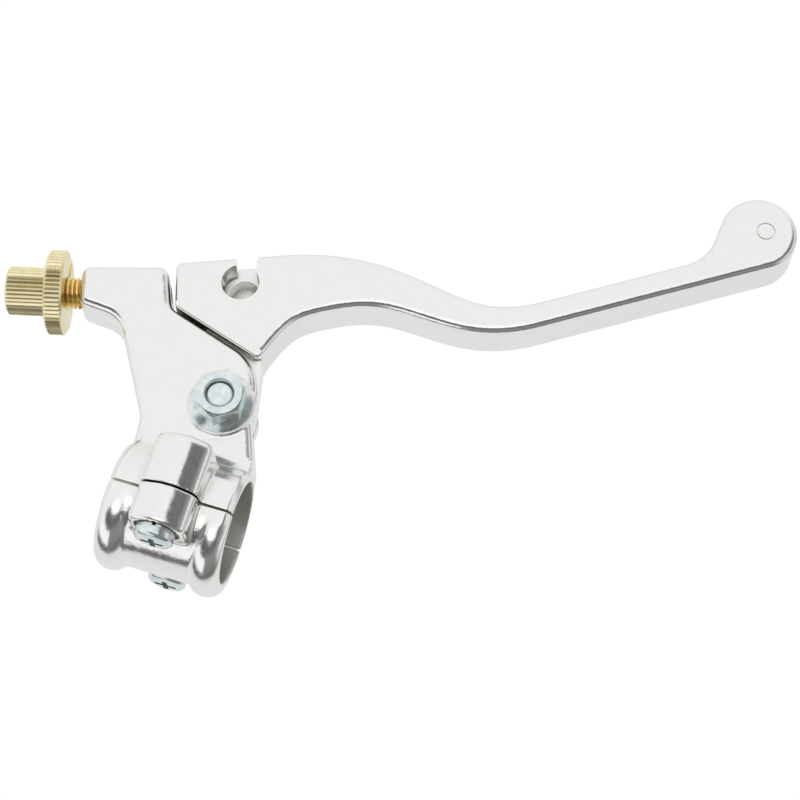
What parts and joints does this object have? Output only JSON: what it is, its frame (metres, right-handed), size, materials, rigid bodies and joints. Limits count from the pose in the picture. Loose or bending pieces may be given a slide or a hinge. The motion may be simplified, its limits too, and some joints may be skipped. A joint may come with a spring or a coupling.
{
  "type": "motorcycle clutch lever with perch",
  "caption": "Polished aluminium clutch lever on a perch with a split handlebar clamp and a knurled brass cable adjuster.",
  "frame": {"origin": "centre of the handlebar bore, halfway along the clamp", "axes": "+X along the handlebar towards the lever's ball end, +Y forward from the bar towards the lever, +Z towards the side that carries the pivot nut and the open cable pocket (the underside once fitted as a left-hand clutch lever)"},
  "size_m": [0.1642, 0.1209, 0.0394],
  "materials": {
    "cast_aluminium": "polished casting",
    "lever_aluminium": "polished casting",
    "zinc_steel": "bright zinc plated",
    "bronze": "sintered",
    "brass": "machined, straight knurled"
  },
  "bodies": {
    "perch": {"perch_body": "cast_aluminium", "clamp_cap": "cast_aluminium", "clamp_screws": "zinc_steel", "spring_washers": "zinc_steel", "pivot_nut": "zinc_steel", "pivot_bolt": "zinc_steel"},
    "lever": {"lever_blade": "lever_aluminium", "pivot_bush": "bronze"},
    "wheel": {"lock_wheel": "brass"},
    "adjuster": {"adjuster_bolt": "brass"}
  },
  "joints": [
    {"name": "lever_pull", "type": "hinge", "parent": "perch", "child": "lever", "pos_m": [0.0023, 0.0247, 0], "axis": [0, 0, -1], "range_deg": [0, 28]},
    {"name": "adjuster_travel", "type": "slide", "parent": "perch", "child": "wheel", "axis": [-0.9703, -0.2419, 0], "range_m": [-0.003, 0.006]},
    {"name": "adjuster_turn", "type": "hinge", "parent": "wheel", "child": "adjuster", "pos_m": [-0.0363, 0.043, 0], "axis": [-0.9703, -0.2419, 0], "range_deg": [-1080, 2160]}
  ],
  "couplings": [
    {"joint": "adjuster_turn", "follows": "adjuster_travel", "rad_per_m": 6283.2}
  ]
}
